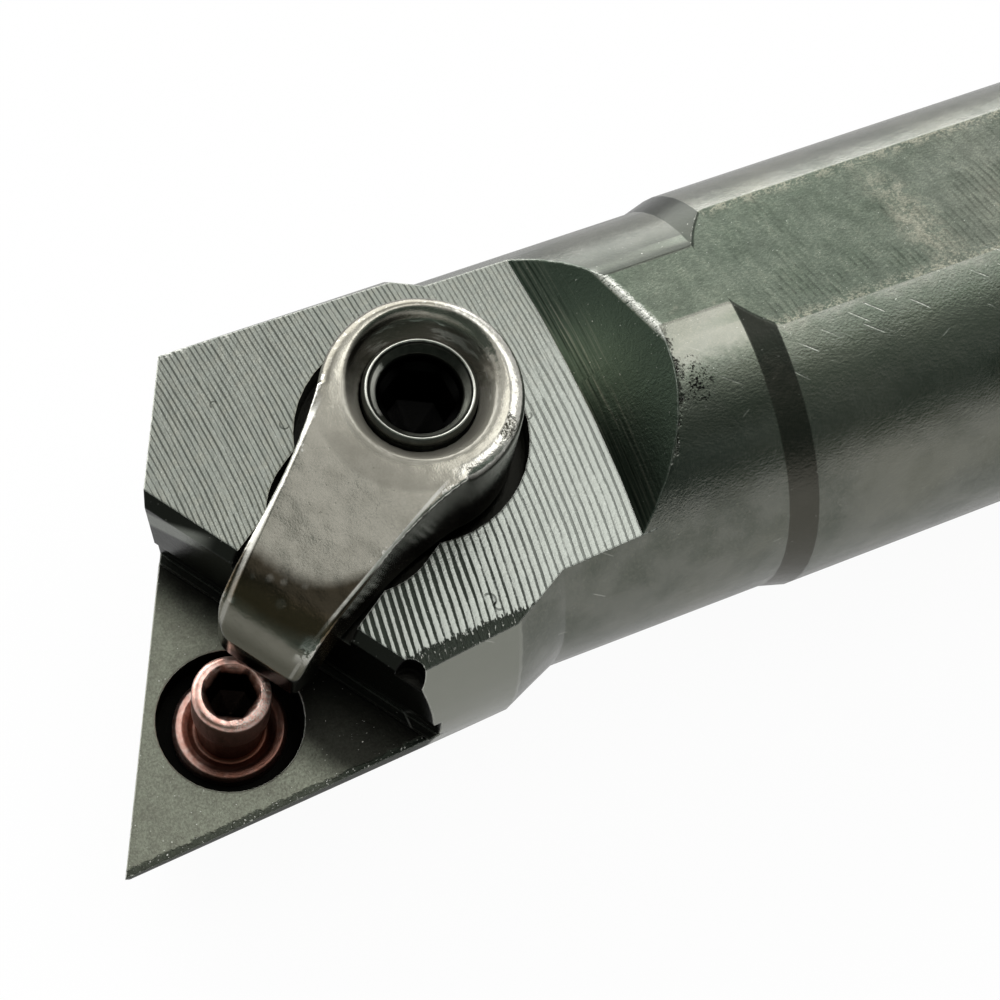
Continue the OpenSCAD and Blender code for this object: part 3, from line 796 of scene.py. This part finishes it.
def dense(points, step):
    # profile points (radius, height, share of hexagon, softness of the corner) as closely spaced rings
    soft = []
    for spot, (radius, height, hexagon, ease) in enumerate(points):
        here = Vector((radius, height, hexagon))
        if ease and 0 < spot < len(points) - 1:
            before, after = (Vector(points[spot + side][:3]) for side in (-1, 1))
            start = here + (before - here) * min(0.45, ease / (before - here).length)
            end = here + (after - here) * min(0.45, ease / (after - here).length)
            for share in (0, 0.25, 0.5, 0.75, 1):
                soft.append(start.lerp(here, share).lerp(here.lerp(end, share), share))
        else:
            soft.append(here)
    rings = [soft[0]]
    for before, after in zip(soft, soft[1:]):
        count = max(1, math.ceil((after - before).length / step))
        rings += [before.lerp(after, (spot + 1) / count) for spot in range(count)]
    return rings


def turned(name, g, place, shape):
    # a turned piece about the Z axis of a place, with shape(radius, height, angle) as its last word on each point
    build = bmesh.new()
    loops = []
    count = g["segments"]
    for radius, height, hexagon in dense(g["profile"], g["step"]):
        loop = []
        for spot in range(count):
            angle = 2 * math.pi * spot / count
            flatted = radius / math.cos(angle % (math.pi / 3) - math.pi / 6)
            out, up = shape(radius + (flatted - radius) * hexagon, height, angle)
            loop.append(build.verts.new((out * math.cos(angle), out * math.sin(angle), up)))
        loops.append(loop)
    for lower, upper in zip(loops, loops[1:]):
        for spot in range(count):
            after = (spot + 1) % count
            build.faces.new((lower[spot], lower[after], upper[after], upper[spot]))
    build.faces.new(loops[0][::-1])
    build.faces.new(loops[-1])
    for face in build.faces:
        face.smooth = True
    mesh = bpy.data.meshes.new(name)
    build.to_mesh(mesh)
    build.free()
    mesh.transform(Matrix.Scale(mm, 4) @ place)
    return linked(name, mesh)


def threaded(g, radius, height, angle):
    # the radius with the threads' grooves cut in, which run out at their ends
    least, most = g["crest"]
    for low, high, hand in g["threads"]:
        if least <= radius < most and low < height < high:
            phase = (height / g["pitch"] - hand * angle / (2 * math.pi)) % 1
            fade = min(1, (height - low) / g["runOut"], (high - height) / g["runOut"])
            groove = min(1, max(0, 1.15 - abs(phase - 0.5) * 2.6))  # sloping sides and a flat bottom
            radius -= g["threadDepth"] * fade * groove
    return radius


# Clamp screw: opposite threads either side of a turned neck, with a hex socket in a coned mouth
screw = {
    "profile": [(1.2, -11.9, 1, 0), (1.5, -12.5, 1, 0.05), (2.1, -12.5, 0, 0.1), (2.6, -12.0, 0, 0.1),
                (2.6, -2.25, 0, 0), (2.25, -1.85, 0, 0.15), (2.25, -0.85, 0, 0.15), (2.6, -0.45, 0, 0),
                (2.6, 4.72, 0, 0.06), (2.47, 4.93, 0, 0.05), (2.4, 4.99, 0, 0.03), (2.33, 4.93, 0, 0.04),
                (2.28, 4.8, 0, 0.05), (1.95, 4.5, 0, 0.08), (1.88, 3.9, 0, 0.1), (1.5, 3.6, 1, 0.05),
                (1.5, 0.6, 1, 0), (0.1, 0.1, 0, 0)],
    "segments": 96, "step": 0.09, "dented": 0.015,
    "threads": ((-11.9, -2.3, 1), (-0.35, 4.5, -1)),  # from, to, and 1 or -1 for its hand
    "crest": (2.55, 2.7), "pitch": 1.0, "threadDepth": 0.4, "runOut": 0.4,
    "metallic": 0.92, "rough": 0.28, "grains": {"fine": (0.09, 2, 0.6), "small": (0.4, 3, 0.6)},
    "heights": {"fine": 0.006, "small": 0.01},
    "black": paint(40, 41, 36), "ring": paint(226, 227, 216), "chamfer": paint(112, 114, 105), "pit": paint(9, 9, 8),
}


def addScrew(g):
    def shape(radius, height, angle):
        dent = noise.noise(Vector((math.cos(angle) * 2.2, math.sin(angle) * 2.2, height * 1.5)))
        return threaded(g, radius, height, angle) + dent * g["dented"], height
    return turned("twoWayScrew", g, clampPlace(), shape)


def screwFinish(g):
    f = newFinish("screw black")
    at = f.grains(f.millimetres(), g["grains"])
    cx, cy, cz = f.placed(at.place, clampPlace())
    small = at.small
    away = apart(cx, cy)
    way = cy.math("ARCTAN2", cx)
    ring = f.band(away + (small - 0.5) * 0.05, 2.4, 0.035, 0.035) * f.ease(cz, 4.8, 4.9)
    mouth = f.band(away, 2.06, 0.1, 0.05) * f.ease(cz, 4.35, 4.5)
    glint = mouth * f.band(way + (small - 0.5) * 0.8, -1.0, 0.45, 0.25)
    lit = mouth * f.band(way, 1.15, 0.7, 0.3)
    deep = f.ease(cz, 4.45, 4.2) * f.ease(away, 1.98, 1.93)
    colour = f.layered(
        g["black"],
        (small * 0.5, g["chamfer"]),
        (lit * 0.8, g["chamfer"]),
        # painted shade deep in the socket
        (deep, g["pit"]),
        (ring * (0.5 + small * 0.6) | glint * 0.85, g["ring"]))
    f.closeMetal(colour, g["metallic"], g["rough"] + small * 0.12, f.bumped(bumps(at, g["heights"])))
    return f


screwPiece = addScrew(screw)
dress(screwPiece, screwFinish(screw))
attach(screwPiece, "clamp_screw")
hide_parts("clamp_screw")
print("screw made", len(screwPiece.data.polygons), "faces")


# Locating pin: coppered, with a flange down in its counterbore
pin = {
    "profile": [(0.05, -11.9, 0, 0), (1.6, -11.9, 0, 0.08), (2.0, -11.5, 0, 0.08), (2.0, -7.75, 0, 0),
                (1.8, -7.6, 0, 0.05), (2.6, -7.59, 0, 0.05), (2.65, -7.5, 0, 0.05), (2.65, -6.88, 0, 0.08),
                (2.48, -6.7, 0, 0.08), (2.17, -6.7, 0, 0.08), (1.7, -7.12, 0, 0.12), (1.49, -6.98, 0, 0.1),
                (1.49, -4.6, 0, 0.1), (1.785, -4.3, 0, 0.08), (1.785, -2.2, 0, 0.12), (1.6, -2.0, 0, 0.12),
                (1.33, -2.02, 0, 0.08), (1.0, -2.42, 1, 0.06), (1.0, -4.55, 1, 0), (0.05, -5.0, 0, 0)],
    "segments": 96, "step": 0.08, "threads": ((-11.4, -7.9, 1),), "crest": (1.9, 2.05), "pitch": 0.7,
    "threadDepth": 0.3, "runOut": 0.3, "dented": 0.012, "socketWorn": 0.025, "topWorn": 0.05,
    "metallic": 0.92, "rough": 0.26, "grains": {"fine": (0.08, 3, 0.6), "small": (0.32, 3, 0.6)},
    "heights": {"fine": 0.008, "small": 0.015},
    "copper": paint(222, 172, 156), "rosy": paint(246, 214, 202), "brown": paint(96, 60, 46),
    "soot": paint(22, 14, 9), "bare": paint(214, 208, 198),
}


def addPin(g):
    def shape(radius, height, angle):
        radius = threaded(g, radius, height, angle)
        way = Vector((math.cos(angle), math.sin(angle), height * 0.6))
        radius += noise.noise(way * 1.6) * g["dented"]
        if height > -2.5 and radius < 1.5:
            radius += noise.noise(way * 4.5) * g["socketWorn"]
        if height > -2.2:
            height += min(0, noise.noise(way * 3.2) * g["topWorn"])
        return radius, height
    return turned("locatingPin", g, seatPlace(), shape)


def pinFinish(g):
    f = newFinish("pin copper")
    at = f.grains(f.millimetres(), g["grains"])
    sx, sy, sz = f.placed(at.place, seatPlace())
    small, fine = at.small, at.fine
    away = apart(sx, sy)
    way = sy.math("ARCTAN2", sx)
    side = f.ease(sz, -2.15, -2.5) * f.ease(away, 2.0, 1.9)
    socket = f.ease(away + (small - 0.5) * 0.25, 1.34, 1.2) * f.ease(sz, -5.2, -5.0)
    inner = f.ease(away, 1.2, 1.1) * f.ease(sz, -2.2, -2.5)
    chipped = f.ease(sz, -2.35, -2.1) * f.ease(sy + (small - 0.5) * 1.6, 0.9, 1.3)
    flangeBack = f.ease(sz, -6.0, -6.4) * f.ease(abs(way + 0.9), 0.6, 1.2)
    colour = f.layered(
        g["copper"],
        (f.ease(small, 0.35, 0.7), g["rosy"]),
        (f.ease(fine, 0.5, 0.75) * 0.35, g["brown"]),
        (side * (0.65 + small * 0.4), g["brown"]),
        # painted shade: the flange brown all round but for a lit crescent on one side
        (flangeBack * 0.9, g["brown"]),
        (chipped * f.ease(fine, 0.52, 0.6), g["bare"]),
        (socket * 0.75, g["brown"]),
        # painted shade inside the socket
        (inner, g["soot"]))
    height = bumps(at, g["heights"]) + chipped * fine * 0.04
    f.closeMetal(colour, g["metallic"], g["rough"] + small * 0.12, f.bumped(height))
    return f


pinPiece = addPin(pin)
dress(pinPiece, pinFinish(pin))
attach(pinPiece, "locating_pin")
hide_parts("locating_pin")
print("pin made", len(pinPiece.data.polygons), "faces")
